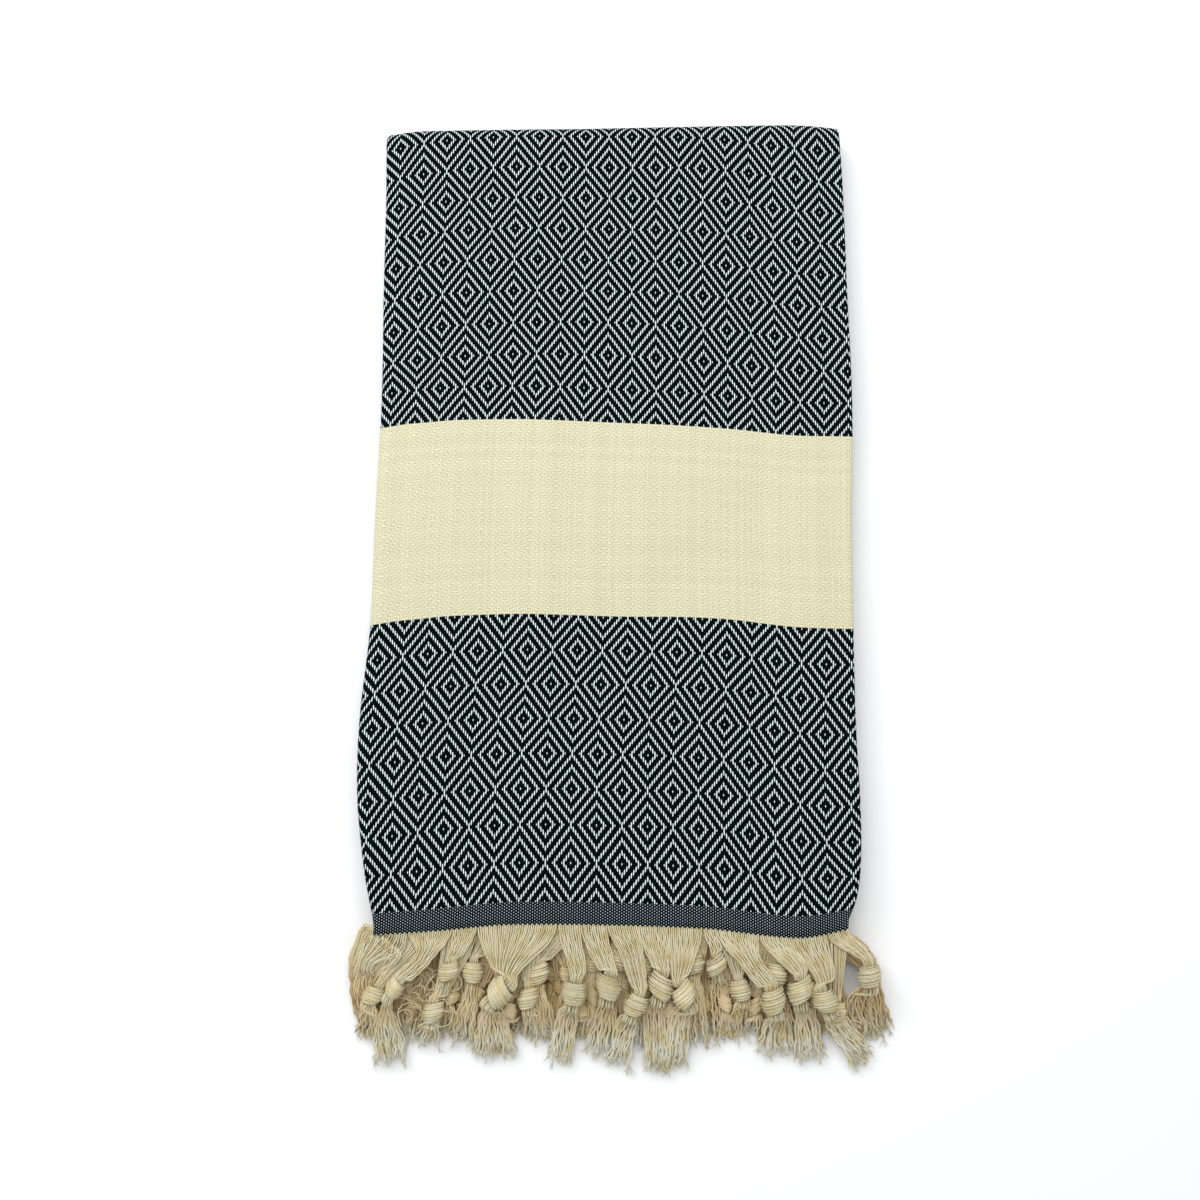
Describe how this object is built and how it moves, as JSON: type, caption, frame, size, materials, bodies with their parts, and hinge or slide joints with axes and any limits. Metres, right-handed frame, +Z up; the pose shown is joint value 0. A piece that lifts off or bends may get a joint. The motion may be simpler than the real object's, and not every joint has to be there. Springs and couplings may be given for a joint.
{
  "type": "folded hammam towel",
  "caption": "Flat-woven cotton hammam towel folded into a flat rectangle, its knotted tassel fringes lying together at one end.",
  "frame": {"origin": "middle of the cloth's resting face, without the fringe", "axes": "+Z up, +Y towards the thick folded edge, -Y towards the fringe, +X to the right seen from the fringe"},
  "size_m": [0.2671, 0.5013, 0.0228],
  "materials": {
    "cloth": "matt flat-woven cotton, black and cream diamond twill with a cream band",
    "fringe": "matt undyed cotton yarn, knotted and frayed"
  },
  "bodies": {
    "root": {"cloth": "cloth", "fringe_front": "fringe", "fringe_back": "fringe"}
  },
  "joints": []
}
